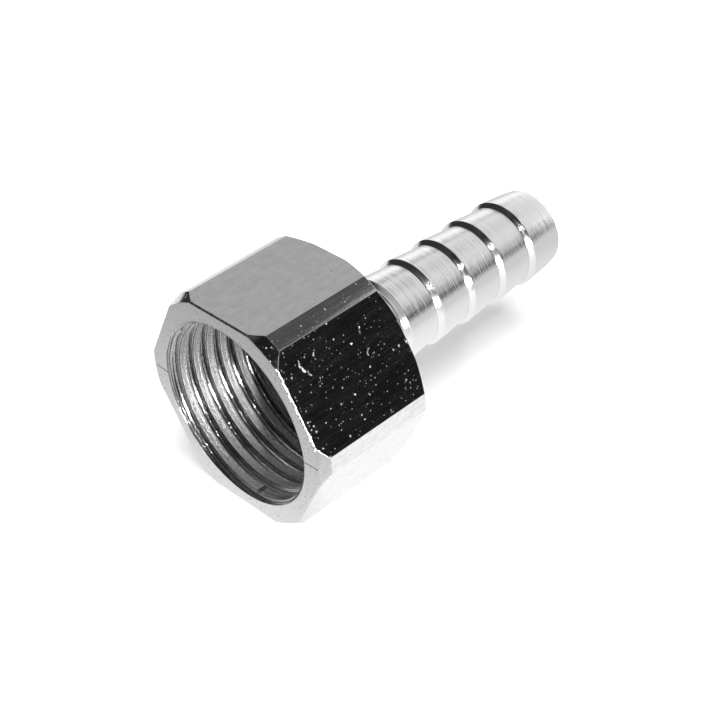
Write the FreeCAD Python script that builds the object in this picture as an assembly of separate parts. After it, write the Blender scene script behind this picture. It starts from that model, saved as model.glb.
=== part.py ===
import FreeCAD, Part
import math
import os

from FreeCAD import Vector

# A hose nipple, turned in one piece from hexagon brass bar. A hexagon head holds an internal pipe thread, and a
# barbed tail takes a hose. Lengths are in millimetres and angles in degrees.
# The origin is the middle of the mouth, +X runs along the axis to the tip of the tail, and +Z is square to a flat of
# the hexagon, so the nipple lies on the opposite flat.

# Internal thread, G 1/2. Its turns are cut as separate rings, because a helix leaves no whole circle to measure.
# The hole is drilled wide before it is tapped, which leaves flat crests.
thread_major = 20.955
thread_pitch = 1.814
thread_depth_share = 0.640327  # of the pitch, in the full 55 degree form
thread_height_share = 0.55  # of the full depth, which is what the drilled hole leaves of it
thread_flank_angle = 27.5  # half of the 55 degrees
socket_depth = 12.0  # from the mouth to the seat
relief_length = 1.6  # the groove behind the thread, from its slope to the seat
relief_clearance = 0.12  # between the thread's root and the relief's wall
relief_round = 0.3
mouth_clearance = 0.08  # between the thread's root and the countersink's edge
countersink_angle = 45.0  # from the axis

# Hexagon head
head_wall = 1.5225  # between the thread's root and a flat, for 24 mm across flats
seat_wall = 3.0  # between the seat and the back of the head
corner_height = 1.325  # how far the turned-down corners stand above the flats
front_chamfer_width = 0.675  # measured outwards, on the turned-down corners
front_chamfer_angle = 60.0  # from the front face
back_chamfer_width = 1.275
back_chamfer_angle = 35.0  # from the back face
front_edge_break = 0.15  # along the edges of the flats, at the front face
back_edge_break = 0.12

# Barbed tail
tail_diameter = 9.5  # of the neck, and of the foot of each barb
tail_wall = 1.25
neck_length = 5.05  # from the head to the foot of the first step
neck_fillet = 0.5
barb_count = 5
barb_pitch = 4.9
barb_height = 0.45
step_length = 0.55  # along the axis, of the slanted face of a step
last_barb_length = 3.4  # from its crest to the start of the nose
nose_length = 1.4
nose_drop = 0.25  # how much closer to the axis the tip is than the start of the nose
nose_round = 0.35
barb_crest_round = 0.12
barb_foot_round = 0.1
tip_chamfer = 0.3  # in the bore, at the tip
seat_chamfer = 0.4  # in the bore, at the seat

# How far a cutting tool runs past the surface it cuts
tool_overrun = 1.0

root_radius = thread_major / 2
full_depth = thread_depth_share * thread_pitch
crest_radius = root_radius - thread_height_share * full_depth
flat_radius = root_radius + head_wall
corner_radius = flat_radius + corner_height
relief_radius = root_radius + relief_clearance
flank_slope = math.tan(math.radians(thread_flank_angle))
root_length = thread_pitch / 2 - full_depth * flank_slope
thread_end = socket_depth - relief_length - (relief_radius - crest_radius) * flank_slope
head_length = socket_depth + seat_wall
tail_radius = tail_diameter / 2
bore_radius = tail_radius - tail_wall
first_foot = head_length + neck_length
tip_x = first_foot + step_length + (barb_count - 1) * barb_pitch + last_barb_length + nose_length


def rounded_outline(corners):
    """A closed face in the X-Z plane. Each corner is (x, radius, rounding), and 0 keeps it sharp."""
    points = [Vector(x, 0, r) for x, r, _ in corners]
    edges = []
    last_end = None
    first_start = None
    for i, (_, _, rounding) in enumerate(corners):
        here = points[i]
        back = points[i - 1] - here
        ahead = points[(i + 1) % len(points)] - here
        back.normalize()
        ahead.normalize()
        if rounding > 0:
            half = back.getAngle(ahead) / 2
            reach = rounding / math.tan(half)
            start = here + back * reach
            end = here + ahead * reach
            bisector = back + ahead
            bisector.normalize()
            middle = here + bisector * (rounding / math.sin(half) - rounding)
            arc = Part.Arc(start, middle, end).toShape()
        else:
            start = end = here
            arc = None
        if last_end is not None:
            edges.append(Part.makeLine(last_end, start))
        else:
            first_start = start
        if arc is not None:
            edges.append(arc)
        last_end = end
    edges.append(Part.makeLine(last_end, first_start))
    return Part.Face(Part.Wire(edges))


def turned(corners):
    """The outline turned about the X axis."""
    return rounded_outline(corners).revolve(Vector(0, 0, 0), Vector(1, 0, 0), 360)


def hexagon_bar():
    """The bar with one flat square to +Z."""
    sharp_radius = flat_radius / math.cos(math.radians(30))
    corners = []
    for k in range(7):
        angle = math.radians(60 * k)
        corners.append(Vector(0, sharp_radius * math.cos(angle), sharp_radius * math.sin(angle)))
    return Part.Face(Part.makePolygon(corners)).extrude(Vector(head_length, 0, 0))


def edge_breaks(face_x, outward, size):
    """Six wedges, one along the edge of each flat at an end face. outward is -1 at the front and 1 at the back."""
    section = Part.makePolygon([
        Vector(face_x + outward * tool_overrun, 0, flat_radius + tool_overrun),
        Vector(face_x + outward * tool_overrun, 0, flat_radius - size - tool_overrun),
        Vector(face_x - outward * (size + tool_overrun), 0, flat_radius + tool_overrun),
        Vector(face_x + outward * tool_overrun, 0, flat_radius + tool_overrun),
    ])
    wedge = Part.Face(section).extrude(Vector(0, 2 * flat_radius, 0))
    wedge.translate(Vector(0, -flat_radius, 0))
    wedges = []
    for k in range(6):
        next_wedge = wedge.copy()
        next_wedge.rotate(Vector(0, 0, 0), Vector(1, 0, 0), 60 * k)
        wedges.append(next_wedge)
    return wedges


def head():
    """The hexagon, with its corners turned down and chamfered at both ends."""
    front_chamfer_length = front_chamfer_width * math.tan(math.radians(front_chamfer_angle))
    back_chamfer_length = back_chamfer_width * math.tan(math.radians(back_chamfer_angle))
    blank = turned([
        (0, 0, 0),
        (0, corner_radius - front_chamfer_width, 0),
        (front_chamfer_length, corner_radius, 0),
        (head_length - back_chamfer_length, corner_radius, 0),
        (head_length, corner_radius - back_chamfer_width, 0),
        (head_length, 0, 0),
    ])
    breaks = edge_breaks(0, -1, front_edge_break) + edge_breaks(head_length, 1, back_edge_break)
    return hexagon_bar().common(blank).cut(breaks)


def tail():
    """The neck, the barbs and the nose. Each barb rises in a short step that faces the head, then tapers to the tip."""
    crest = tail_radius + barb_height
    taper = barb_height / (barb_pitch - step_length)
    corners = [
        (head_length - tool_overrun, 0, 0),
        (head_length - tool_overrun, tail_radius, 0),
    ]
    for k in range(barb_count):
        foot_x = first_foot + k * barb_pitch
        corners.append((foot_x, tail_radius, barb_foot_round))
        corners.append((foot_x + step_length, crest, barb_crest_round))
    nose_start = crest - taper * last_barb_length
    corners += [
        (tip_x - nose_length, nose_start, 0),
        (tip_x, nose_start - nose_drop, nose_round),
        (tip_x, 0, 0),
    ]
    return turned(corners)


def neck_fillet_ring():
    """Material in the corner between the back of the head and the neck."""
    reach = tail_radius + neck_fillet
    middle = neck_fillet * (1 - math.sqrt(0.5))
    arc = Part.Arc(
        Vector(head_length, 0, reach),
        Vector(head_length + middle, 0, tail_radius + middle),
        Vector(head_length + neck_fillet, 0, tail_radius),
    ).toShape()
    inside = Vector(head_length - tool_overrun, 0, tail_radius - tail_wall / 2)
    wire = Part.Wire([
        arc,
        Part.makeLine(Vector(head_length + neck_fillet, 0, tail_radius), inside),
        Part.makeLine(inside, Vector(head_length, 0, reach)),
    ])
    return Part.Face(wire).revolve(Vector(0, 0, 0), Vector(1, 0, 0), 360)


def socket():
    """The hole before its thread: the countersink, the wall between the crests, the relief and the seat."""
    mouth_radius = root_radius + mouth_clearance
    sink_depth = (mouth_radius - crest_radius) / math.tan(math.radians(countersink_angle))
    flare = tool_overrun * math.tan(math.radians(countersink_angle))
    return turned([
        (-tool_overrun, 0, 0),
        (-tool_overrun, mouth_radius + flare, 0),
        (sink_depth, crest_radius, 0),
        (thread_end, crest_radius, 0),
        (socket_depth - relief_length, relief_radius, 0),
        (socket_depth, relief_radius, relief_round),
        (socket_depth, 0, 0),
    ])


def thread_grooves():
    """One ring for each turn of the thread, with flat crests between them. The last crest ends at the relief."""
    flank_length = (root_radius - crest_radius) * flank_slope
    foot = root_length / 2
    shoulder = foot + flank_length
    middle = thread_end - (thread_pitch - shoulder)
    inside = crest_radius - tool_overrun
    grooves = []
    while middle > mouth_clearance:
        grooves.append(turned([
            (middle - shoulder, inside, 0),
            (middle - shoulder, crest_radius, 0),
            (middle - foot, root_radius, 0),
            (middle + foot, root_radius, 0),
            (middle + shoulder, crest_radius, 0),
            (middle + shoulder, inside, 0),
        ]))
        middle -= thread_pitch
    return grooves


def through_bore():
    """The bore of the tail, with its small chamfers at the tip and in the seat."""
    return turned([
        (socket_depth - tool_overrun, 0, 0),
        (socket_depth - tool_overrun, bore_radius + seat_chamfer, 0),
        (socket_depth, bore_radius + seat_chamfer, 0),
        (socket_depth + seat_chamfer, bore_radius, 0),
        (tip_x - tip_chamfer, bore_radius, 0),
        (tip_x, bore_radius + tip_chamfer, 0),
        (tip_x + tool_overrun, bore_radius + tip_chamfer, 0),
        (tip_x + tool_overrun, 0, 0),
    ])


def hose_nipple():
    """The turned outside, less the socket with its thread and the bore."""
    outside = head().fuse([tail(), neck_fillet_ring()])
    return outside.cut([socket(), through_bore()] + thread_grooves())


os.makedirs("parts", exist_ok=True)
nipple = hose_nipple()
nipple.exportStep("parts/hose_nipple.step")
body = nipple.Solids[0]
print("solids", len(nipple.Solids), "valid", nipple.isValid(), "volume", round(body.Volume, 1), "mm3")
print("length", round(body.BoundBox.XLength, 3), "centre of mass", round(body.CenterOfMass.x, 3))
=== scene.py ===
import math

import bmesh
import bpy
from mathutils import Matrix, Quaternion, Vector


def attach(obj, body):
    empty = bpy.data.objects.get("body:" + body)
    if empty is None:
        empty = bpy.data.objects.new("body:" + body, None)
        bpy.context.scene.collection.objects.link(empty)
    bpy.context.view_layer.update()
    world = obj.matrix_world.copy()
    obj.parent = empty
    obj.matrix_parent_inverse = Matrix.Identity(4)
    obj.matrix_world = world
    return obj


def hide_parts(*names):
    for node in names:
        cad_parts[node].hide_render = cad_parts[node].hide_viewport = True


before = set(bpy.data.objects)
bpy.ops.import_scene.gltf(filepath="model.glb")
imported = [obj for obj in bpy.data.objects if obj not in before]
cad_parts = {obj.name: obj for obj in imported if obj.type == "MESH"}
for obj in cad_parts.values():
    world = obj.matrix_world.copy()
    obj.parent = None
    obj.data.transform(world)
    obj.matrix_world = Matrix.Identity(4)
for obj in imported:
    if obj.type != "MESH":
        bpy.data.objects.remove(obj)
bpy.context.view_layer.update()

# A hose nipple of nickel plated brass, lying on a flat of its hexagon.
# Meshes are modelled in millimetres and made metres in finishMesh.
metresPerMm = 0.001
spinSteps = 240  # one step is 1.5 degrees, so the hexagon's corners fall on steps


def spunShell(corners):
    # Corners are (x, radius, rounding reach). The open outline is spun about X, and its ends close on the axis.
    bm = bmesh.new()
    ends = [bm.verts.new((x, 0, r)) for x, r, reach in corners]
    bm.faces.new(ends)
    closing = bm.edges.get((ends[-1], ends[0]))
    for amount in sorted({reach for x, r, reach in corners if reach > 0}):
        rounded = [v for v, (x, r, reach) in zip(ends, corners) if reach == amount]
        bmesh.ops.bevel(bm, geom=rounded, offset=amount, offset_type="OFFSET", affect="VERTICES",
                        segments=5, profile=0.5, material=-1)
    bmesh.ops.delete(bm, geom=[f for f in bm.faces], context="FACES_ONLY")
    bm.edges.remove(closing)
    bmesh.ops.spin(bm, geom=bm.verts[:] + bm.edges[:], cent=(0, 0, 0), axis=(1, 0, 0), dvec=(0, 0, 0),
                   angle=math.tau, steps=spinSteps, use_merge=True)
    bmesh.ops.remove_doubles(bm, verts=bm.verts, dist=1e-5)
    bmesh.ops.recalc_face_normals(bm, faces=bm.faces)
    return bm


def planeCut(bm, point, outward):
    # Trims what lies outside the plane and closes the cut with one face.
    cut = bmesh.ops.bisect_plane(bm, geom=bm.verts[:] + bm.edges[:] + bm.faces[:], dist=1e-6,
                                 plane_co=point, plane_no=outward, clear_outer=True)
    rim = [e for e in cut["geom_cut"] if isinstance(e, bmesh.types.BMEdge)]
    bmesh.ops.contextual_create(bm, geom=rim)


def aroundAxis(degrees):
    return Vector((0, math.cos(math.radians(degrees)), math.sin(math.radians(degrees))))


def asObject(bm, name):
    mesh = bpy.data.meshes.new(name)
    bm.to_mesh(mesh)
    bm.free()
    made = bpy.data.objects.new(name, mesh)
    bpy.context.scene.collection.objects.link(made)
    return made


photoCamera = {
    "place": (-72.04, -104.34, 100.39),  # mm
    "aim": (17.81, 0.41, -3.64),  # mm
    "roll": -5.67,  # degrees
    "lens": 80.04,
}


def addCamera():
    place = Vector(photoCamera["place"])
    gaze = Vector(photoCamera["aim"]) - place
    camera = bpy.data.objects.new("camera", bpy.data.cameras.new("camera"))
    camera.data.lens = photoCamera["lens"]
    camera.data.clip_start = 0.005
    camera.data.clip_end = 20
    camera.location = place * metresPerMm
    camera.rotation_mode = "QUATERNION"
    roll = Quaternion((0, 0, 1), math.radians(photoCamera["roll"]))
    camera.rotation_quaternion = gaze.to_track_quat("-Z", "Y") @ roll
    bpy.context.scene.collection.objects.link(camera)
    bpy.context.scene.camera = camera


addCamera()
print("camera done")

head = {
    "flatRadius": 12.0,
    "cornerRadius": 13.32,  # the corners are turned down to this
    "length": 15.0,
    "frontChamfer": (0.675, 60.0),  # width, and angle from the face
    "backChamfer": (1.275, 35.0),
    "frontBreak": 0.15,  # along the flats
    "backBreak": 0.12,
    "edgeRound": 0.07,
}

tail = {
    "radius": 4.75,
    "neckFillet": 0.5,
    "firstFoot": 20.05,
    "barbs": 5,
    "barbPitch": 4.9,
    "barbHeight": 0.45,
    "stepLength": 0.55,
    "lastBarb": 3.4,
    "nose": (1.4, 0.25),  # length and drop
    "noseReach": 0.27,
    "crestReach": 0.06,
    "footReach": 0.05,
    "tip": 45.0,
}


def headShell():
    chamferLength = [w * math.tan(math.radians(a)) for w, a in (head["frontChamfer"], head["backChamfer"])]
    corner, length = head["cornerRadius"], head["length"]
    neck = tail["radius"] + tail["neckFillet"]
    bm = spunShell([
        (0, 0, 0),
        (0, corner - head["frontChamfer"][0], 0),
        (chamferLength[0], corner, 0),
        (length - chamferLength[1], corner, 0),
        (length, corner - head["backChamfer"][0], 0),
        (length, neck, 0),
    ])
    for k in range(6):
        outward = aroundAxis(30 + 60 * k)
        planeCut(bm, outward * head["flatRadius"], outward)
    for k in range(6):
        outward = aroundAxis(30 + 60 * k)
        edge = outward * head["flatRadius"]
        planeCut(bm, edge + Vector((head["frontBreak"], 0, 0)), outward + Vector((-1, 0, 0)))
        planeCut(bm, edge + Vector((length - head["backBreak"], 0, 0)), outward + Vector((1, 0, 0)))
    return bm


def softenHead(bm):
    # A small round on every edge of the hexagon: where two surfaces meet at more than 15 degrees, more than 11 mm
    # from the axis.
    bmesh.ops.recalc_face_normals(bm, faces=bm.faces)
    hard = [e for e in bm.edges if len(e.link_faces) == 2 and e.calc_face_angle() > math.radians(15)
            and min(math.hypot(v.co.y, v.co.z) for v in e.verts) > 11]
    bmesh.ops.bevel(bm, geom=hard, offset=head["edgeRound"], offset_type="OFFSET", affect="EDGES",
                    segments=3, profile=0.5, material=-1, clamp_overlap=True, loop_slide=True)


def tailShell():
    length = head["length"]
    r, crest = tail["radius"], tail["radius"] + tail["barbHeight"]
    taper = tail["barbHeight"] / (tail["barbPitch"] - tail["stepLength"])
    fillet = tail["neckFillet"]
    corners = [(length, r + fillet, 0)]
    for degrees in (15, 30, 45, 60, 75):
        turn = math.radians(degrees)
        corners.append((length + fillet * (1 - math.cos(turn)), r + fillet * (1 - math.sin(turn)), 0))
    corners.append((length + fillet, r, 0))
    for k in range(tail["barbs"]):
        foot = tail["firstFoot"] + k * tail["barbPitch"]
        corners.append((foot, r, tail["footReach"]))
        corners.append((foot + tail["stepLength"], crest, tail["crestReach"]))
    noseStart = crest - taper * tail["lastBarb"]
    corners += [
        (tail["tip"] - tail["nose"][0], noseStart, 0),
        (tail["tip"], noseStart - tail["nose"][1], tail["noseReach"]),
        (tail["tip"], 0, 0),
    ]
    return spunShell(corners)


def outsideBlank():
    bm = headShell()
    softenHead(bm)
    piece = asObject(bm, "hoseNipple")
    behind = tailShell()
    joined = bmesh.new()
    joined.from_mesh(piece.data)
    mesh = bpy.data.meshes.new("tail")
    behind.to_mesh(mesh)
    behind.free()
    joined.from_mesh(mesh)
    bpy.data.meshes.remove(mesh)
    bmesh.ops.remove_doubles(joined, verts=joined.verts, dist=1e-4)
    bmesh.ops.recalc_face_normals(joined, faces=joined.faces)
    joined.to_mesh(piece.data)
    joined.free()
    return piece


thread = {
    "pitch": 1.814,
    "rootRadius": 10.4775,
    "halfAngle": 27.5,
    "rootTruncation": 0.2904,  # from the sharp form to the round root
    "rootReach": 0.5589,  # of the vertex bevel that gives that truncation
    "crestReach": 0.06,  # of the round along the edges of the flat crests
    "shoulder": (0.3, 0.04),  # the tap's width and clearance beside a groove, inside the drilled wall
    "footRadius": 9.3,
    "grooveAt": (320.0, 0.556),  # angle and x of the first groove's middle
    "from": -1.1,  # x where the tap starts, in front of the mouth
    "to": 10.9,  # and ends, in the relief
    "steps": 192,  # a turn
    "bluntStart": (43.0, 263.0),  # between these angles the thin first ridge is cut away
    "bluntRadius": 10.2,
}

bore = {
    "mouthRadius": 10.5575,
    "drilledRadius": 9.8386,  # drilled wide before it was tapped, so the crests are flat
    "relief": (10.4, 10.5975),  # x and radius where its wall starts
    "seat": 12.0,
    "reliefReach": 0.3,
    "throughRadius": 3.5,
    "seatChamfer": 0.4,
    "tipChamfer": 0.3,
    "overrun": 1.0,
}


def cavityTool():
    out, drilled = bore["overrun"], bore["drilledRadius"]
    wallX, wall = bore["relief"]
    slope = math.tan(math.radians(thread["halfAngle"]))
    r, tip, seat = bore["throughRadius"], tail["tip"], bore["seat"]
    bm = spunShell([
        (-out, 0, 0),
        (-out, bore["mouthRadius"] + out, 0),
        (bore["mouthRadius"] - drilled, drilled, 0),
        (wallX - slope * (wall - drilled), drilled, 0),
        (wallX, wall, 0),
        (seat, wall, bore["reliefReach"]),
        (seat, r + bore["seatChamfer"], 0),
        (seat + bore["seatChamfer"], r, 0),
        (tip - bore["tipChamfer"], r, 0),
        (tip + out, r + bore["tipChamfer"] + out, 0),
        (tip + out, 0, 0),
    ])
    return asObject(bm, "cavityTool")


def grooveMiddle(degrees):
    angle, x = thread["grooveAt"]
    return x + thread["pitch"] * (degrees - angle) / 360


def alongThread(bm, start, end):
    # Spins a section, drawn at the angle 0 with its x from the groove's middle, along the thread.
    bmesh.ops.translate(bm, vec=(grooveMiddle(start), 0, 0), verts=bm.verts)
    bmesh.ops.rotate(bm, cent=(0, 0, 0), matrix=Matrix.Rotation(math.radians(start), 3, "X"), verts=bm.verts)
    steps = round(abs(end - start) / 360 * thread["steps"])
    angle = math.radians(end - start)
    bmesh.ops.spin(bm, geom=bm.verts[:] + bm.edges[:] + bm.faces[:], cent=(0, 0, 0), axis=(1, 0, 0),
                   dvec=(thread["pitch"] * angle / math.tau / steps, 0, 0), angle=angle, steps=steps,
                   use_merge=False)
    bmesh.ops.recalc_face_normals(bm, faces=bm.faces)


def tapTool():
    # One tooth of the tap, from in front of the mouth to the relief.
    drilled = bore["drilledRadius"]
    slope = math.tan(math.radians(thread["halfAngle"]))
    sharpRoot = thread["rootRadius"] + thread["rootTruncation"]
    half = (sharpRoot - drilled) * slope
    width, clearance = thread["shoulder"]
    bm = bmesh.new()
    outline = [(-half - width, thread["footRadius"]), (-half - width, drilled - clearance), (-half, drilled),
               (0, sharpRoot), (half, drilled), (half + width, drilled - clearance),
               (half + width, thread["footRadius"])]
    corners = [bm.verts.new((x, r, 0)) for x, r in outline]
    bm.faces.new(corners)
    for rounded, reach, segments in (([corners[3]], thread["rootReach"], 8),
                                     ([corners[2], corners[4]], thread["crestReach"], 4)):
        bmesh.ops.bevel(bm, geom=rounded, offset=reach, offset_type="OFFSET", affect="VERTICES",
                        segments=segments, profile=0.5, material=-1)
    angle, x = thread["grooveAt"]
    alongThread(bm, *[angle + (end - x) / thread["pitch"] * 360 for end in (thread["from"], thread["to"])])
    return asObject(bm, "tapTool")


def bluntTool():
    # Takes away the thin start of the first ridge, between the first groove and the second.
    start, end = thread["bluntStart"]
    bm = bmesh.new()
    reach = 3 * thread["pitch"]
    bm.faces.new([bm.verts.new((x, r, 0)) for x, r in (
        (-reach, thread["footRadius"]), (-reach, thread["bluntRadius"]),
        (thread["pitch"], thread["bluntRadius"]), (thread["pitch"], thread["footRadius"]))])
    alongThread(bm, start, end)
    return asObject(bm, "bluntTool")


def cutWith(piece, tool):
    cut = piece.modifiers.new(tool.name, "BOOLEAN")
    cut.operation = "DIFFERENCE"
    cut.solver = "EXACT"
    cut.object = tool


def openEdges(mesh):
    bm = bmesh.new()
    bm.from_mesh(mesh)
    count = len([e for e in bm.edges if not e.is_manifold])
    bm.free()
    return count


def weldCut(mesh):
    # The cuts leave corners less than 0.002 mm apart.
    bm = bmesh.new()
    bm.from_mesh(mesh)
    bmesh.ops.remove_doubles(bm, verts=bm.verts, dist=0.002)
    bmesh.ops.dissolve_degenerate(bm, edges=bm.edges, dist=1e-4)
    bm.to_mesh(mesh)
    bm.free()


def buildNipple():
    piece = outsideBlank()
    tools = [cavityTool(), tapTool(), bluntTool()]
    print("blank", len(piece.data.polygons), "open", openEdges(piece.data))
    for tool in tools:
        print(tool.name, len(tool.data.polygons), "open", openEdges(tool.data))
        cutWith(piece, tool)
    cutMesh = bpy.data.meshes.new_from_object(piece.evaluated_get(bpy.context.evaluated_depsgraph_get()))
    piece.modifiers.clear()
    piece.data = cutMesh
    for tool in tools:
        bpy.data.objects.remove(tool)
    weldCut(piece.data)
    print("cut", len(piece.data.polygons), "open", openEdges(piece.data))
    return piece


nipple = buildNipple()
print("mesh done")


def linear(hexColour):
    parts = [int(hexColour[i:i + 2], 16) / 255 for i in (1, 3, 5)]
    return tuple(c / 12.92 if c <= 0.04045 else ((c + 0.055) / 1.055) ** 2.4 for c in parts) + (1,)


def addNode(tree, kind, inputs=None, **settings):
    node = tree.nodes.new(kind)
    for name, value in settings.items():
        setattr(node, name, value)
    for name, value in (inputs or {}).items():
        if isinstance(value, bpy.types.NodeSocket):
            tree.links.new(value, node.inputs[name])
        else:
            node.inputs[name].default_value = value
    return node


def newMaterial(name):
    material = bpy.data.materials.new(name)
    material.use_nodes = True
    material.node_tree.nodes.clear()
    return material


def millimetres(tree):
    # Object coordinates in mm, which every pattern on the part is drawn in.
    place = addNode(tree, "ShaderNodeTexCoord").outputs["Object"]
    scaled = addNode(tree, "ShaderNodeVectorMath", {0: place, "Scale": 1 / metresPerMm}, operation="SCALE")
    return scaled.outputs[0]


def ringPlace(tree, place):
    # The same point as (x, radius), on which every turned surface has rings.
    across = addNode(tree, "ShaderNodeVectorMath", {0: place, 1: (0.0, 1.0, 1.0)}, operation="MULTIPLY")
    radius = addNode(tree, "ShaderNodeVectorMath", {0: across.outputs[0]}, operation="LENGTH").outputs["Value"]
    x = addNode(tree, "ShaderNodeSeparateXYZ", {"Vector": place}).outputs["X"]
    return addNode(tree, "ShaderNodeCombineXYZ", {"X": x, "Y": radius}).outputs["Vector"]


plate = {
    "colour": "#EEEEEE",
    "hazeColour": "#E0E0E0",
    "tappedColour": "#E8E8E8",
    "deepShadeColour": "#A8A8A8",
    "deepShadeFrom": (6.5, 9.0),  # x where painted shade starts to darken the bore, and where it is darkest
    # dark lines along the helix: torn marks, and painted shade in the grooves
    "tornAndShadeColour": "#343434",
    "tornAndShadeDark": 0.8,  # how far the torn lines, partly painted shade in the grooves, reach that colour
    "tornAndShadeSpared": 0.8,  # how much less they do on the crests, which keeps the painted shade in the grooves
    "grimeDark": 0.5,  # how far the grime reaches it
    "speckAndReflectionColour": "#2A2A2A",  # of the painted dark reflection lines and of the ring's specks
    "specksDark": 0.8,  # how far the specks reach that colour
    "barRoughness": (0.06, 0.13),
    "markRoughness": 0.3,  # what pits and scratches add to it
    "turnedRoughness": (0.10, 0.22),
    "tappedRoughness": (0.12, 0.52),  # of the roots and of the crests
    "edgeRoughness": (0.15, 0.35),
    # values of the noise, from 0 to 1, between which each of these comes in or goes
    "fades": {
        "dull": (0.3, 0.7),
        "haze": (0.15, 0.35),
        "bead": (0.42, 0.52),
        "torn": (0.40, 0.50),
        "grime": (0.36, 0.48),
    },
    # size of each pattern's grain in mm
    "grain": {
        "streak": (4.0, 0.2),  # along and across the bar
        "barPeel": 0.285714,
        "haze": 0.833333,
        "fineRing": 0.166667,  # the tool's feed was about 0.05, drawn coarser to show
        "coarseRing": 0.625,
        "turnedPeel": 0.454545,
        "torn": 0.2,
        "mottle": 0.2,
        "dent": 0.333333,
    },
    # pits: spacing and largest radius in mm, and the share of places that have one
    "pits": {
        "barLarge": (0.8, 0.13, 0.55),
        "barSmall": (0.3, 0.07, 0.4),
        "barFront": (0.42, 0.14, 0.7),
        "turned": (0.5, 0.11, 0.4),
        "ring": (0.3, 0.12, 0.6),
        "tapped": (0.42, 0.15, 0.65),
        "edge": (0.4, 0.13, 0.5),
    },
    "smallestPit": 0.35,  # its radius, as a share of the largest
    "pitRuffle": (0.2, 0.12),  # grain and width in mm of what bends the pits' outlines
    "frontPits": (0.7, 1.7),  # x up to which the front has more pits, and where they end
    "topPits": (0.4, 0.1, 0.12),  # mm below the top flat between which pits thin out, and the share that is left
    # height of each bump in mm, in the order in which the finishes name them
    "bumps": {
        "bar": (0.0025, 0.0025, 0.022, -0.05),
        "turned": (0.02, 0.022, 0.004, -0.02, -0.03),
        "tapped": (0.07, 0.10, -0.05),
        "edge": (0.12, -0.04),
    },
    # scratches in the plate, in (x, sideways) mm on the flat at each angle
    "scratches": {
        150: [[(2.6, -4.0), (2.5, -3.0), (3.1, -2.4), (3.7, -1.9)], [(3.9, -1.7), (4.0, -0.9)],
              [(4.6, -3.9), (4.5, -3.5)], [(10.4, -3.5), (10.3, -3.0)], [(10.5, -1.3), (9.7, -0.6)],
              [(12.6, 3.7), (12.9, 3.5), (13.1, 3.9)]],
        90: [[(12.6, 2.3), (12.3, 3.1)]],
    },
    "scratchHalfWidth": 0.09,  # mm
    "scratchWander": (0.625, 0.9),  # grain and reach in mm
    "scratchBead": 0.3125,  # grain in mm of the beads that the scratches break up into
    # two dark lines across the front ring: a painted reflection of a dark gap in the room
    "darkReflectionLines": [((0, 10.56, 0.25), (0, 12.3, 0.35)), ((0, -10.56, -0.25), (0, -12.6, -0.15))],
    "darkReflectionHalfWidth": 0.07,  # mm
    "crestFade": (0.02, 0.12),  # mm outside the drilled wall, over which a crest becomes a groove
    "grooveMottle": 0.3,  # height of the mottle in the grooves, as a share of that on the crests
}


def pits(tree, place, kind):
    # One pit in a share of the cells. Gives 1 in a pit's middle and 0 outside it.
    spacing, radius, share = plate["pits"][kind]
    grain, width = plate["pitRuffle"]
    ruffle = addNode(tree, "ShaderNodeTexNoise", {"Vector": place, "Scale": 1 / grain, "Detail": 1.0})
    bent = addNode(tree, "ShaderNodeVectorMath", {0: ruffle.outputs["Color"], 1: (width,) * 3, 2: place},
                   operation="MULTIPLY_ADD")
    cells = addNode(tree, "ShaderNodeTexVoronoi", {"Vector": bent.outputs[0], "Scale": 1 / spacing})
    chosen = addNode(tree, "ShaderNodeSeparateColor", {"Color": cells.outputs["Color"]})
    kept = addNode(tree, "ShaderNodeMath", {0: chosen.outputs["Red"], 1: share}, operation="LESS_THAN")
    size = addNode(tree, "ShaderNodeMapRange", {
        "Value": chosen.outputs["Green"], "To Min": plate["smallestPit"] * radius / spacing,
        "To Max": radius / spacing,
    })
    fade = addNode(tree, "ShaderNodeMapRange", {
        "Value": cells.outputs["Distance"], "From Min": 0.0, "From Max": size.outputs["Result"],
        "To Min": 1.0, "To Max": 0.0,
    }, interpolation_type="SMOOTHSTEP")
    return addNode(tree, "ShaderNodeMath", {0: fade.outputs["Result"], 1: kept.outputs[0]},
                   operation="MULTIPLY").outputs[0]


def strokes(tree, place, lines, halfWidth):
    # Thin marks along straight lines between points in mm. Gives 1 on a mark and 0 away from it.
    nearest = None
    for start, end in lines:
        along = Vector(end) - Vector(start)
        offset = addNode(tree, "ShaderNodeVectorMath", {0: place, 1: start}, operation="SUBTRACT").outputs[0]
        share = addNode(tree, "ShaderNodeVectorMath", {0: offset, 1: along / along.length_squared},
                        operation="DOT_PRODUCT").outputs["Value"]
        share = addNode(tree, "ShaderNodeClamp", {"Value": share}).outputs[0]
        foot = addNode(tree, "ShaderNodeVectorMath", {0: along, "Scale": share}, operation="SCALE").outputs[0]
        gap = addNode(tree, "ShaderNodeVectorMath", {0: offset, 1: foot}, operation="DISTANCE").outputs["Value"]
        if nearest is None:
            nearest = gap
        else:
            nearest = addNode(tree, "ShaderNodeMath", {0: nearest, 1: gap}, operation="MINIMUM").outputs[0]
    return addNode(tree, "ShaderNodeMapRange", {
        "Value": nearest, "From Min": 0.3 * halfWidth, "From Max": halfWidth, "To Min": 1.0, "To Max": 0.0,
    }, interpolation_type="SMOOTHSTEP").outputs["Result"]


def onFlat(degrees, points):
    # A chain of marks on the flat at this angle. Points are (x, sideways) in mm.
    outward, sideways = aroundAxis(degrees), aroundAxis(degrees + 90)
    places = [Vector((x, 0, 0)) + outward * head["flatRadius"] + sideways * t for x, t in points]
    return list(zip(places, places[1:]))


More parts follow.
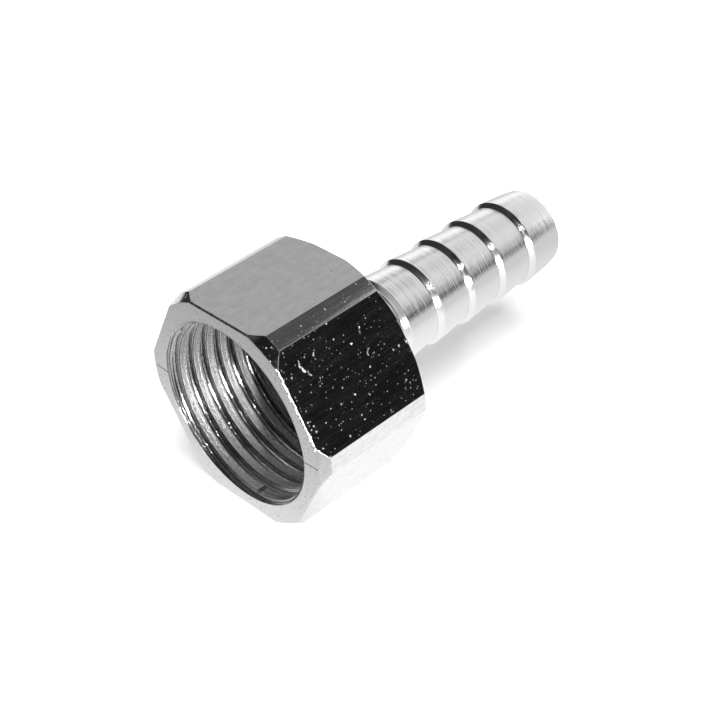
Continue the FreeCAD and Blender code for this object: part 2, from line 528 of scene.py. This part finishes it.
def finishPlate(material, colour, roughness, heights, depths):
    # A bump for each height, on top of the one before.
    tree = material.node_tree
    normal = None
    for height, depth in zip(heights, depths):
        inputs = {"Height": height, "Strength": 1.0, "Distance": depth * metresPerMm}
        if normal is not None:
            inputs["Normal"] = normal
        normal = addNode(tree, "ShaderNodeBump", inputs).outputs["Normal"]
    shader = addNode(tree, "ShaderNodeBsdfPrincipled", {
        "Base Color": colour, "Metallic": 1.0, "Roughness": roughness, "Normal": normal,
    })
    addNode(tree, "ShaderNodeOutputMaterial", {"Surface": shader.outputs["BSDF"]})
    return material


def drawnBarPlate():
    # Bright nickel over cold drawn hexagon bar: a mirror with faint streaks along the bar, pits and scratches.
    material = newMaterial("nickelOnDrawnBar")
    tree = material.node_tree
    place = millimetres(tree)
    grain, fades = plate["grain"], plate["fades"]
    length, width = grain["streak"]
    along = addNode(tree, "ShaderNodeMapping", {"Vector": place, "Scale": (1 / length, 1 / width, 1 / width)})
    streaks = addNode(tree, "ShaderNodeTexNoise", {
        "Vector": along.outputs[0], "Scale": 1.0, "Detail": 4.0,
    }).outputs["Fac"]
    peel = addNode(tree, "ShaderNodeTexNoise", {
        "Vector": place, "Scale": 1 / grain["barPeel"], "Detail": 2.0,
    }).outputs["Fac"]
    large = pits(tree, place, "barLarge")
    small = pits(tree, place, "barSmall")
    lines = [line for degrees, chains in plate["scratches"].items() for chain in chains
             for line in onFlat(degrees, chain)]
    # the scratches wander a little and break up into beads
    wanderGrain, reach = plate["scratchWander"]
    wander = addNode(tree, "ShaderNodeTexNoise", {"Vector": place, "Scale": 1 / wanderGrain, "Detail": 2.0})
    wander = addNode(tree, "ShaderNodeVectorMath", {0: wander.outputs["Color"], 1: (0.5, 0.5, 0.5)},
                     operation="SUBTRACT")
    bent = addNode(tree, "ShaderNodeVectorMath", {0: wander.outputs[0], 1: (reach,) * 3, 2: place},
                   operation="MULTIPLY_ADD")
    scratched = strokes(tree, bent.outputs[0], lines, plate["scratchHalfWidth"])
    beads = addNode(tree, "ShaderNodeTexNoise", {
        "Vector": place, "Scale": 1 / plate["scratchBead"], "Detail": 1.0,
    }).outputs["Fac"]
    beads = addNode(tree, "ShaderNodeMapRange", {
        "Value": beads, "From Min": fades["bead"][0], "From Max": fades["bead"][1],
    }).outputs["Result"]
    scratched = addNode(tree, "ShaderNodeMath", {0: scratched, 1: beads}, operation="MULTIPLY").outputs[0]
    # more pits by the front edges, and few on the flat that lies on top
    parts = addNode(tree, "ShaderNodeSeparateXYZ", {"Vector": place}).outputs
    upTo, over = plate["frontPits"]
    atFront = addNode(tree, "ShaderNodeMapRange", {
        "Value": parts["X"], "From Min": upTo, "From Max": over, "To Min": 1.0, "To Max": 0.0,
    }).outputs["Result"]
    front = pits(tree, place, "barFront")
    front = addNode(tree, "ShaderNodeMath", {0: front, 1: atFront}, operation="MULTIPLY").outputs[0]
    large = addNode(tree, "ShaderNodeMath", {0: large, 1: front}, operation="MAXIMUM").outputs[0]
    below, above, left = plate["topPits"]
    worn = addNode(tree, "ShaderNodeMapRange", {
        "Value": parts["Z"], "From Min": head["flatRadius"] - below, "From Max": head["flatRadius"] - above,
        "To Min": 1.0, "To Max": left,
    }).outputs["Result"]
    large = addNode(tree, "ShaderNodeMath", {0: large, 1: worn}, operation="MULTIPLY").outputs[0]
    small = addNode(tree, "ShaderNodeMath", {0: small, 1: worn}, operation="MULTIPLY").outputs[0]
    marks = addNode(tree, "ShaderNodeMath", {0: large, 1: scratched}, operation="MAXIMUM").outputs[0]
    smooth, dull = plate["barRoughness"]
    rough = addNode(tree, "ShaderNodeMapRange", {
        "Value": streaks, "From Min": fades["dull"][0], "From Max": fades["dull"][1],
        "To Min": smooth, "To Max": dull,
    }).outputs["Result"]
    rough = addNode(tree, "ShaderNodeMath", {0: marks, 1: plate["markRoughness"], 2: rough},
                    operation="MULTIPLY_ADD").outputs[0]
    haze = addNode(tree, "ShaderNodeTexNoise", {
        "Vector": place, "Scale": 1 / grain["haze"], "Detail": 5.0,
    }).outputs["Fac"]
    haze = addNode(tree, "ShaderNodeMath", {0: haze, 1: streaks}, operation="MULTIPLY").outputs[0]
    haze = addNode(tree, "ShaderNodeMapRange", {
        "Value": haze, "From Min": fades["haze"][0], "From Max": fades["haze"][1],
    })
    colour = addNode(tree, "ShaderNodeMix", {
        "Factor": haze.outputs["Result"], "A": linear(plate["hazeColour"]), "B": linear(plate["colour"]),
    }, data_type="RGBA")
    return finishPlate(material, colour.outputs["Result"], rough, (peel, streaks, small, marks),
                       plate["bumps"]["bar"])


def turnedPlate():
    # Bright nickel over turned brass: rings from the tool's feed, which break up the edges of what it reflects.
    material = newMaterial("nickelOnTurnedBrass")
    tree = material.node_tree
    place = millimetres(tree)
    rings = ringPlace(tree, place)
    grain, fades = plate["grain"], plate["fades"]
    fine = addNode(tree, "ShaderNodeTexNoise", {
        "Vector": rings, "Scale": 1 / grain["fineRing"], "Detail": 2.0, "Roughness": 0.7,
    }, noise_dimensions="2D").outputs["Fac"]
    coarse = addNode(tree, "ShaderNodeTexNoise", {
        "Vector": rings, "Scale": 1 / grain["coarseRing"], "Detail": 1.0,
    }, noise_dimensions="2D").outputs["Fac"]
    peel = addNode(tree, "ShaderNodeTexNoise", {
        "Vector": place, "Scale": 1 / grain["turnedPeel"], "Detail": 3.0,
    }).outputs["Fac"]
    spots = pits(tree, place, "turned")
    # painted reflection: two dark lines across the front ring, in the colour and a slight dent
    darkReflectionLine = strokes(tree, place, plate["darkReflectionLines"], plate["darkReflectionHalfWidth"])
    # dark specks on the front ring alone, where x is 0
    x = addNode(tree, "ShaderNodeSeparateXYZ", {"Vector": rings}).outputs["X"]
    onRing = addNode(tree, "ShaderNodeMapRange", {
        "Value": x, "From Max": 0.02, "To Min": plate["specksDark"], "To Max": 0.0,
    }).outputs["Result"]
    specks = pits(tree, place, "ring")
    specks = addNode(tree, "ShaderNodeMath", {0: specks, 1: onRing}, operation="MULTIPLY").outputs[0]
    dark = addNode(tree, "ShaderNodeMath", {0: darkReflectionLine, 1: specks}, operation="MAXIMUM").outputs[0]
    colour = addNode(tree, "ShaderNodeMix", {
        "Factor": dark, "A": linear(plate["colour"]), "B": linear(plate["speckAndReflectionColour"]),
    }, data_type="RGBA")
    smooth, dull = plate["turnedRoughness"]
    rough = addNode(tree, "ShaderNodeMapRange", {
        "Value": fine, "From Min": fades["dull"][0], "From Max": fades["dull"][1],
        "To Min": smooth, "To Max": dull,
    })
    return finishPlate(material, colour.outputs["Result"], rough.outputs["Result"],
                       (coarse, fine, peel, spots, darkReflectionLine), plate["bumps"]["turned"])


def tappedPlate():
    # Nickel over a tapped thread: satin, torn along the helix and mottled, with painted shade in the grooves and
    # deep inside the bore.
    material = newMaterial("nickelOnTappedThread")
    tree = material.node_tree
    place = millimetres(tree)
    grain, fades = plate["grain"], plate["fades"]
    # lines along the helix, the same at every turn: x less the groove's middle at this angle, within one pitch
    parts = addNode(tree, "ShaderNodeSeparateXYZ", {"Vector": place}).outputs
    angle = addNode(tree, "ShaderNodeMath", {0: parts["Z"], 1: parts["Y"]}, operation="ARCTAN2").outputs[0]
    along = addNode(tree, "ShaderNodeMath", {0: angle, 1: -thread["pitch"] / math.tau, 2: parts["X"]},
                    operation="MULTIPLY_ADD").outputs[0]
    along = addNode(tree, "ShaderNodeMath", {0: along, 1: -grooveMiddle(0)}, operation="ADD").outputs[0]
    along = addNode(tree, "ShaderNodeMath", {0: along, 1: thread["pitch"] / 2, 2: -thread["pitch"] / 2},
                    operation="WRAP").outputs[0]
    radius = addNode(tree, "ShaderNodeSeparateXYZ", {"Vector": ringPlace(tree, place)}).outputs["Y"]
    helix = addNode(tree, "ShaderNodeCombineXYZ", {"X": along, "Y": radius}).outputs[0]
    torn = addNode(tree, "ShaderNodeTexNoise", {
        "Vector": helix, "Scale": 1 / grain["torn"], "Detail": 3.0, "Roughness": 0.6,
    }, noise_dimensions="2D").outputs["Fac"]
    mottle = addNode(tree, "ShaderNodeTexNoise", {
        "Vector": place, "Scale": 1 / grain["mottle"], "Detail": 3.0,
    }).outputs["Fac"]
    spots = pits(tree, place, "tapped")
    # the drilled crests are rough and mottled, the tapped roots and flanks bright
    near, away = plate["crestFade"]
    crest = addNode(tree, "ShaderNodeMapRange", {
        "Value": radius, "From Min": bore["drilledRadius"] + near, "From Max": bore["drilledRadius"] + away,
        "To Min": 1.0, "To Max": 0.0,
    }).outputs["Result"]
    smooth, dull = plate["tappedRoughness"]
    rough = addNode(tree, "ShaderNodeMapRange", {"Value": crest, "To Min": smooth, "To Max": dull})
    coarse = addNode(tree, "ShaderNodeMapRange", {"Value": crest, "To Min": plate["grooveMottle"], "To Max": 1.0})
    mottled = addNode(tree, "ShaderNodeMath", {0: mottle, 1: coarse.outputs["Result"]},
                      operation="MULTIPLY").outputs[0]
    # torn lines show dark in the grooves and countersink, partly torn marks and partly painted shade in those
    # hollows, and grime shows everywhere
    lines = addNode(tree, "ShaderNodeMapRange", {
        "Value": torn, "From Min": fades["torn"][0], "From Max": fades["torn"][1],
        "To Min": plate["tornAndShadeDark"], "To Max": 0.0,
    }).outputs["Result"]
    groove = addNode(tree, "ShaderNodeMath", {0: crest, 1: -plate["tornAndShadeSpared"], 2: 1.0},
                     operation="MULTIPLY_ADD").outputs[0]
    lines = addNode(tree, "ShaderNodeMath", {0: lines, 1: groove}, operation="MULTIPLY").outputs[0]
    grime = addNode(tree, "ShaderNodeMapRange", {
        "Value": mottle, "From Min": fades["grime"][0], "From Max": fades["grime"][1],
        "To Min": plate["grimeDark"], "To Max": 0.0,
    }).outputs["Result"]
    dark = addNode(tree, "ShaderNodeMath", {0: lines, 1: grime}, operation="MAXIMUM").outputs[0]
    # painted shade: the colour darkens towards the deep end of the bore
    deepStart, deepEnd = plate["deepShadeFrom"]
    deep = addNode(tree, "ShaderNodeMapRange", {"Value": parts["X"], "From Min": deepStart, "From Max": deepEnd})
    plain = addNode(tree, "ShaderNodeMix", {
        "Factor": deep.outputs["Result"], "A": linear(plate["tappedColour"]), "B": linear(plate["deepShadeColour"]),
    }, data_type="RGBA")
    colour = addNode(tree, "ShaderNodeMix", {
        "Factor": dark, "A": plain.outputs["Result"], "B": linear(plate["tornAndShadeColour"]),
    }, data_type="RGBA")
    return finishPlate(material, colour.outputs["Result"], rough.outputs["Result"], (torn, mottled, spots),
                       plate["bumps"]["tapped"])


def brokenEdgePlate():
    # Nickel over edges broken with a file and rolled in the barrel: dented, so it sparkles in broken lines.
    material = newMaterial("nickelOnBrokenEdge")
    tree = material.node_tree
    place = millimetres(tree)
    dents = addNode(tree, "ShaderNodeTexNoise", {
        "Vector": place, "Scale": 1 / plate["grain"]["dent"], "Detail": 3.0,
    }).outputs["Fac"]
    fade = plate["fades"]["dull"]
    smooth, dull = plate["edgeRoughness"]
    rough = addNode(tree, "ShaderNodeMapRange", {
        "Value": dents, "From Min": fade[0], "From Max": fade[1], "To Min": smooth, "To Max": dull,
    })
    return finishPlate(material, linear(plate["colour"]), rough.outputs["Result"],
                       (dents, pits(tree, place, "edge")), plate["bumps"]["edge"])


finishes = ["drawnBar", "turned", "tapped", "brokenEdge"]


def finishOf(face):
    middle, normal = face.calc_center_median(), face.normal
    radius = math.hypot(middle.y, middle.z)
    if 0.01 < middle.x < bore["seat"] + 0.01 and radius < bore["relief"][1] + 0.01:
        return "tapped"
    if middle.x > head["length"] + 0.001 or abs(normal.x) > 0.999 or radius < bore["throughRadius"] + 0.5:
        return "turned"  # the tail, the end faces and the bore
    if max(normal.dot(aroundAxis(30 + 60 * k)) for k in range(6)) > 0.9999:
        return "drawnBar"  # the flats
    if radius > head["cornerRadius"] - 0.02 and abs(normal.x) < 0.02:
        return "drawnBar"  # the turned-down corners
    cones = [-math.cos(math.radians(head["frontChamfer"][1])), math.cos(math.radians(head["backChamfer"][1]))]
    if min(abs(normal.x - cone) for cone in cones) < 0.02:
        return "drawnBar"  # the chamfers
    return "brokenEdge"


def finishMesh(piece):
    # Finishes by place, and metres. Shading breaks at hard edges, and where a wide face meets a narrow round.
    bm = bmesh.new()
    bm.from_mesh(piece.data)
    counts = dict.fromkeys(finishes, 0)
    for face in bm.faces:
        finish = finishOf(face)
        counts[finish] += 1
        face.material_index = finishes.index(finish)
        face.smooth = True
    areas = {face: face.calc_area() for face in bm.faces}
    for edge in bm.edges:
        beside = sorted(areas[face] for face in edge.link_faces)
        turn = math.degrees(edge.calc_face_angle(math.pi))
        edge.smooth = turn < 3 or (turn < 20 and beside[-1] < 6 * beside[0])
    bmesh.ops.scale(bm, vec=(metresPerMm,) * 3, verts=bm.verts)
    bm.to_mesh(piece.data)
    bm.free()
    print("finishes", counts, "triangles", sum(len(p.vertices) - 2 for p in piece.data.polygons))


nipple.data.materials.clear()
for made in (drawnBarPlate(), turnedPlate(), tappedPlate(), brokenEdgePlate()):
    nipple.data.materials.append(made)
finishMesh(nipple)
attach(nipple, "root")
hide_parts("hose_nipple")
print("materials done")

studio = {
    "floor": -12.0,  # its height in mm, that of the flat which the nipple lies on
    "floorSize": 6000.0,  # mm
    "floorColour": "#F2F2F2",
    # brings the open floor to white: glow near the part and far from it, and their distances in mm
    "floorGlow": (0.05, 0.9, 20.0, 52.0),
    # the paper as the metal shows it: brightness near the part and far to the left, x where that fade starts, over
    # how many mm, and to the right from one x to another, down to a share
    "floorInMetal": {"near": 1.08, "far": 0.13, "from": 6.0, "reach": 24.0, "right": (20.0, 65.0, 0.65)},
    "base": 0.42,  # brightness of the room where no panel is
    # each panel: azimuth and elevation of its middle, half sizes and soft edge, in degrees, and brightness
    "panels": [
        (0, 90, 400, 36, 3, 0.11),  # dark ceiling
        (139, 31, 62, 29, 6, 0.04),  # dark to the left
        (-127, 33, 32, 21, 3, 0.10),  # dark behind the camera
        (-158, 57, 20, 14, 3, 0.015),  # above it, darkest, which the steps and the front corner show
        (16, 5.5, 46, 20.5, 3, 1.4),  # white screen behind
        (2.5, 38, 39, 13, 2, 1.0),  # white panel above it, which the top of the tail shows
        (52, 36, 14, 9, 5, 0.56),  # grey panel that the top flat shows
        (-59, 13, 6.5, 6.5, 1.5, 0.012),  # dark opening that the near flat shows
        (-43, 8.5, 10, 1.8, 0.8, 0.0),  # and its edge, which the tail shows
        (-137, 4.5, 12, 7, 3, 0.55),  # low window by the camera
    ],
    # azimuth, elevation, distance and size in mm, power in W, and whether the metal shows the lamp
    "lamps": [
        (-90.0, 75.0, 500.0, 440.0, 2.6, False),  # soft lamp above
        (-116.0, 8.0, 450.0, 24.0, 3.2, True),  # two small lamps by the camera
        (-145.0, 36.0, 450.0, 22.0, 0.3, True),
    ],
}


def addFloor():
    bm = bmesh.new()
    bmesh.ops.create_grid(bm, x_segments=1, y_segments=1, size=studio["floorSize"] / 2 * metresPerMm)
    bmesh.ops.translate(bm, vec=(0, 0, studio["floor"] * metresPerMm), verts=bm.verts)
    floor = asObject(bm, "floor")
    material = newMaterial("paperFloor")
    tree = material.node_tree
    paper = addNode(tree, "ShaderNodeBsdfDiffuse", {"Color": linear(studio["floorColour"])})
    path = addNode(tree, "ShaderNodeLightPath")
    place = addNode(tree, "ShaderNodeTexCoord").outputs["Object"]
    nearGlow, farGlow, nearEnd, farEnd = studio["floorGlow"]
    middle = Vector((tail["tip"] / 2, 0, 0)) * metresPerMm
    away = addNode(tree, "ShaderNodeVectorMath", {0: place, 1: middle}, operation="DISTANCE").outputs["Value"]
    glowing = addNode(tree, "ShaderNodeMapRange", {
        "Value": away, "From Min": nearEnd * metresPerMm, "From Max": farEnd * metresPerMm,
        "To Min": nearGlow, "To Max": farGlow,
    }, interpolation_type="SMOOTHSTEP")
    seen = addNode(tree, "ShaderNodeMath", {0: path.outputs["Is Camera Ray"], 1: glowing.outputs["Result"]},
                   operation="MULTIPLY")
    glow = addNode(tree, "ShaderNodeEmission", {"Strength": seen.outputs[0]})
    whitened = addNode(tree, "ShaderNodeAddShader", {0: paper.outputs[0], 1: glow.outputs[0]})
    # in metal and glass the paper is white near the part and fades to both sides
    metal = studio["floorInMetal"]
    x = addNode(tree, "ShaderNodeSeparateXYZ", {"Vector": place}).outputs["X"]
    left = addNode(tree, "ShaderNodeMath", {
        0: x, 1: 1 / (metal["reach"] * metresPerMm), 2: -metal["from"] / metal["reach"],
    }, operation="MULTIPLY_ADD").outputs[0]
    left = addNode(tree, "ShaderNodeMath", {0: left, 1: 0.0}, operation="MINIMUM").outputs[0]
    fade = addNode(tree, "ShaderNodeMath", {0: left}, operation="EXPONENT").outputs[0]
    fade = addNode(tree, "ShaderNodeMapRange", {"Value": fade, "To Min": metal["far"], "To Max": metal["near"]})
    start, end, share = metal["right"]
    right = addNode(tree, "ShaderNodeMapRange", {
        "Value": x, "From Min": start * metresPerMm, "From Max": end * metresPerMm,
        "To Min": 1.0, "To Max": share,
    })
    fade = addNode(tree, "ShaderNodeMath", {0: fade.outputs["Result"], 1: right.outputs["Result"]},
                   operation="MULTIPLY")
    mirrored = addNode(tree, "ShaderNodeEmission", {"Strength": fade.outputs[0]})
    glossy, transmitted = path.outputs["Is Glossy Ray"], path.outputs["Is Transmission Ray"]
    inMetal = addNode(tree, "ShaderNodeMath", {0: glossy, 1: transmitted}, operation="MAXIMUM")
    both = addNode(tree, "ShaderNodeMixShader", {
        0: inMetal.outputs[0], 1: whitened.outputs[0], 2: mirrored.outputs[0],
    })
    addNode(tree, "ShaderNodeOutputMaterial", {"Surface": both.outputs[0]})
    floor.data.materials.append(material)


def addWorld():
    world = bpy.data.worlds.new("studio")
    bpy.context.scene.world = world
    world.use_nodes = True
    tree = world.node_tree
    tree.nodes.clear()
    direction = addNode(tree, "ShaderNodeTexCoord").outputs["Generated"]
    axes = addNode(tree, "ShaderNodeSeparateXYZ", {"Vector": direction}).outputs
    azimuth = addNode(tree, "ShaderNodeMath", {0: axes["Y"], 1: axes["X"]}, operation="ARCTAN2").outputs[0]
    elevation = addNode(tree, "ShaderNodeMath", {0: axes["Z"]}, operation="ARCSINE").outputs[0]
    light = studio["base"]
    for middleAz, middleEl, halfAz, halfEl, soft, brightness in studio["panels"]:
        cover = 1.0
        for angle, middle, half in ((azimuth, middleAz, halfAz), (elevation, middleEl, halfEl)):
            away = addNode(tree, "ShaderNodeMath", {0: angle, 1: math.radians(middle)}, operation="SUBTRACT")
            away = addNode(tree, "ShaderNodeMath", {0: away.outputs[0], 1: math.pi}, operation="PINGPONG")
            inside = addNode(tree, "ShaderNodeMapRange", {
                "Value": away.outputs[0], "From Min": math.radians(half), "From Max": math.radians(half + soft),
                "To Min": 1.0, "To Max": 0.0,
            }, interpolation_type="SMOOTHSTEP")
            cover = addNode(tree, "ShaderNodeMath", {0: cover, 1: inside.outputs["Result"]},
                            operation="MULTIPLY").outputs[0]
        light = addNode(tree, "ShaderNodeMix", {"Factor": cover, "A": light, "B": brightness},
                        data_type="FLOAT").outputs["Result"]
    path = addNode(tree, "ShaderNodeLightPath")
    light = addNode(tree, "ShaderNodeMix", {"Factor": path.outputs["Is Camera Ray"], "A": light, "B": 1.0},
                    data_type="FLOAT").outputs["Result"]
    background = addNode(tree, "ShaderNodeBackground", {"Strength": light})
    addNode(tree, "ShaderNodeOutputWorld", {"Surface": background.outputs[0]})


def addLamps():
    for azimuth, elevation, distance, size, power, shown in studio["lamps"]:
        light = bpy.data.lights.new("lamp", "AREA")
        light.shape = "DISK"
        light.size = size * metresPerMm
        light.energy = power
        lamp = bpy.data.objects.new("lamp", light)
        lamp.visible_glossy = shown
        toLamp = Vector((math.cos(math.radians(azimuth)), math.sin(math.radians(azimuth)), 0))
        toLamp = toLamp * math.cos(math.radians(elevation)) + Vector((0, 0, math.sin(math.radians(elevation))))
        lamp.location = toLamp * distance * metresPerMm
        lamp.rotation_mode = "QUATERNION"
        lamp.rotation_quaternion = (-toLamp).to_track_quat("-Z", "Y")
        bpy.context.scene.collection.objects.link(lamp)


addFloor()
addWorld()
addLamps()
bpy.context.scene.view_settings.view_transform = "Standard"
print("studio done")
